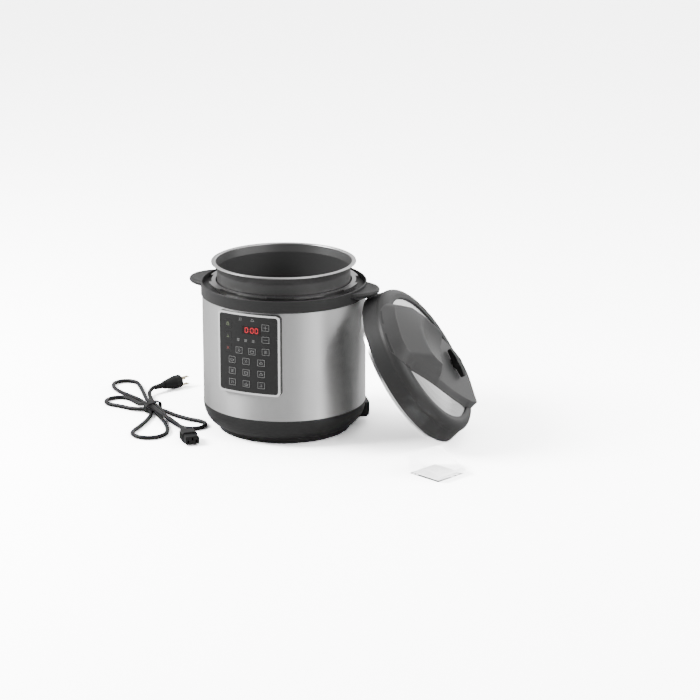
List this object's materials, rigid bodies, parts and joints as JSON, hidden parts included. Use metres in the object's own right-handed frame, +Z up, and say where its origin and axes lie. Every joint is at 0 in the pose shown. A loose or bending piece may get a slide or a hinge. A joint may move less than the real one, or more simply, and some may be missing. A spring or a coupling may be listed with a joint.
{
  "type": "electric pressure cooker",
  "caption": "Tabletop electric pressure cooker with a steel body, lift-out pot, key panel and side handles; the domed lid leans against it, with a clear drip cup and tied power cord beside it.",
  "frame": {"origin": "centre of the foot ring, on the table", "axes": "+Z up, -Y out of the control panel, +X toward the handle that the lid leans under"},
  "size_m": [0.7456, 0.3468, 0.284],
  "materials": {
    "shell_steel": "satin wrap of the outer wall",
    "black_plastic": "moulded, soft sheen",
    "rubber_black": "matt",
    "housing_steel": "pressed, satin",
    "cast_aluminium": "machined casting",
    "element_steel": "heat-darkened",
    "sensor_aluminium": "turned",
    "spring_steel": "drawn wire",
    "inner_plastic": "moulded",
    "circuit_board": "solder mask",
    "pin_brass": "plated",
    "screw_steel": "zinc plated",
    "panel_plastic": "moulded",
    "panel_chrome": "bright trim",
    "overlay_plastic": "printed overlay",
    "key_plastic": "printed pads",
    "display_glass": "dark red-tinted window",
    "pot_coating": "non-stick coating",
    "lid_plastic": "moulded, soft sheen",
    "bridge_plastic": "moulded, satin",
    "dome_steel": "spun and polished",
    "silicone_clear": "translucent silicone",
    "knob_plastic": "moulded",
    "vent_steel": "turned",
    "float_plastic": "moulded",
    "cup_clear": "clear moulding",
    "cord_plastic": "moulded PVC",
    "cord_jacket": "PVC jacket",
    "tie_plastic": "twist tie"
  },
  "bodies": {
    "base": {"outer_shell": "shell_steel", "base_tray": "black_plastic", "foot_pads": "rubber_black", "top_ring": "black_plastic", "pressure_housing": "housing_steel", "heater_plate": "cast_aluminium", "heating_element": "element_steel", "sensor_spring": "spring_steel", "sensor_bracket": "housing_steel", "pressure_switch": "inner_plastic", "power_board": "circuit_board", "inlet_socket": "inner_plastic", "inlet_pins": "pin_brass", "cup_dock": "black_plastic", "dock_screws": "screw_steel", "base_screws": "screw_steel", "panel_housing": "panel_plastic", "panel_frame": "panel_chrome", "panel_overlay": "overlay_plastic", "display_window": "display_glass", "display_module": "inner_plastic", "control_board": "circuit_board"},
    "sensor": {"temp_sensor": "sensor_aluminium"},
    "pot": {"inner_pot": "pot_coating"},
    "lid": {"lid_cover": "lid_plastic", "lid_bridge": "bridge_plastic", "lid_dome": "dome_steel", "sealing_ring": "silicone_clear", "ring_rack": "spring_steel", "vent_pipe": "vent_steel", "vent_filter": "vent_steel", "lid_screws": "screw_steel"},
    "steam_valve": {"valve_knob": "knob_plastic"},
    "float_valve": {"float_pin": "float_plastic", "float_seal": "silicone_clear"},
    "drip_cup": {"condensation_cup": "cup_clear"},
    "mains_lead": {"cord_connector": "cord_plastic", "power_cord": "cord_jacket", "plug_body": "cord_plastic", "plug_blades": "pin_brass", "cord_tie": "tie_plastic"},
    "pad_lock": {"key_lock": "key_plastic"},
    "pad_delay": {"key_delay": "key_plastic"},
    "pad_stop": {"key_stop": "key_plastic"},
    "pad_plus": {"key_plus": "key_plastic"},
    "pad_minus": {"key_minus": "key_plastic"},
    "pad_set": {"key_set": "key_plastic"},
    "pad_warm": {"key_warm": "key_plastic"},
    "pad_start": {"key_start": "key_plastic"},
    "pad_rice": {"key_rice": "key_plastic"},
    "pad_soup": {"key_soup": "key_plastic"},
    "pad_meat": {"key_meat": "key_plastic"},
    "pad_bean": {"key_bean": "key_plastic"},
    "pad_stew": {"key_stew": "key_plastic"},
    "pad_fish": {"key_fish": "key_plastic"},
    "pad_steam": {"key_steam": "key_plastic"},
    "pad_cake": {"key_cake": "key_plastic"},
    "pad_slow": {"key_slow": "key_plastic"}
  },
  "joints": [
    {"name": "pot_lift", "type": "slide", "parent": "base", "child": "pot", "axis": [0, 0, 1], "range_m": [0, 0.18]},
    {"name": "sensor_press", "type": "slide", "parent": "base", "child": "sensor", "axis": [0, 0, -1], "range_m": [0, 0.002], "stiffness_N_per_m": 900, "springref_m": -0.001, "deforming": ["sensor_spring"]},
    {"name": "lid_lift", "type": "slide", "parent": "base", "child": "lid", "axis": [0.9721, 0.1575, 0.1736], "range_m": [0, 0.2]},
    {"name": "valve_turn", "type": "hinge", "parent": "lid", "child": "steam_valve", "pos_m": [0.27696, 0.09166, 0.11615], "axis": [0.8309, 0.1346, 0.54], "range_deg": [0, 45]},
    {"name": "float_rise", "type": "slide", "parent": "lid", "child": "float_valve", "axis": [0.8309, 0.1346, 0.54], "range_m": [0, 0.004]},
    {"name": "cup_lift", "type": "slide", "parent": "base", "child": "drip_cup", "axis": [0, 0, 1], "range_m": [0, 0.1]},
    {"name": "lead_lift", "type": "slide", "parent": "base", "child": "mains_lead", "axis": [-0.6, 0, 0.8], "range_m": [0, 0.1]},
    {"name": "press_lock", "type": "slide", "parent": "base", "child": "pad_lock", "axis": [0, 1, 0], "range_m": [0, 0.0005], "stiffness_N_per_m": 500},
    {"name": "press_delay", "type": "slide", "parent": "base", "child": "pad_delay", "axis": [0, 1, 0], "range_m": [0, 0.0005], "stiffness_N_per_m": 500},
    {"name": "press_stop", "type": "slide", "parent": "base", "child": "pad_stop", "axis": [0, 1, 0], "range_m": [0, 0.0005], "stiffness_N_per_m": 500},
    {"name": "press_plus", "type": "slide", "parent": "base", "child": "pad_plus", "axis": [0, 1, 0], "range_m": [0, 0.0005], "stiffness_N_per_m": 500},
    {"name": "press_minus", "type": "slide", "parent": "base", "child": "pad_minus", "axis": [0, 1, 0], "range_m": [0, 0.0005], "stiffness_N_per_m": 500},
    {"name": "press_set", "type": "slide", "parent": "base", "child": "pad_set", "axis": [0, 1, 0], "range_m": [0, 0.0005], "stiffness_N_per_m": 500},
    {"name": "press_warm", "type": "slide", "parent": "base", "child": "pad_warm", "axis": [0, 1, 0], "range_m": [0, 0.0005], "stiffness_N_per_m": 500},
    {"name": "press_start", "type": "slide", "parent": "base", "child": "pad_start", "axis": [0, 1, 0], "range_m": [0, 0.0005], "stiffness_N_per_m": 500},
    {"name": "press_rice", "type": "slide", "parent": "base", "child": "pad_rice", "axis": [0, 1, 0], "range_m": [0, 0.0005], "stiffness_N_per_m": 500},
    {"name": "press_soup", "type": "slide", "parent": "base", "child": "pad_soup", "axis": [0, 1, 0], "range_m": [0, 0.0005], "stiffness_N_per_m": 500},
    {"name": "press_meat", "type": "slide", "parent": "base", "child": "pad_meat", "axis": [0, 1, 0], "range_m": [0, 0.0005], "stiffness_N_per_m": 500},
    {"name": "press_bean", "type": "slide", "parent": "base", "child": "pad_bean", "axis": [0, 1, 0], "range_m": [0, 0.0005], "stiffness_N_per_m": 500},
    {"name": "press_stew", "type": "slide", "parent": "base", "child": "pad_stew", "axis": [0, 1, 0], "range_m": [0, 0.0005], "stiffness_N_per_m": 500},
    {"name": "press_fish", "type": "slide", "parent": "base", "child": "pad_fish", "axis": [0, 1, 0], "range_m": [0, 0.0005], "stiffness_N_per_m": 500},
    {"name": "press_steam", "type": "slide", "parent": "base", "child": "pad_steam", "axis": [0, 1, 0], "range_m": [0, 0.0005], "stiffness_N_per_m": 500},
    {"name": "press_cake", "type": "slide", "parent": "base", "child": "pad_cake", "axis": [0, 1, 0], "range_m": [0, 0.0005], "stiffness_N_per_m": 500},
    {"name": "press_slow", "type": "slide", "parent": "base", "child": "pad_slow", "axis": [0, 1, 0], "range_m": [0, 0.0005], "stiffness_N_per_m": 500}
  ]
}
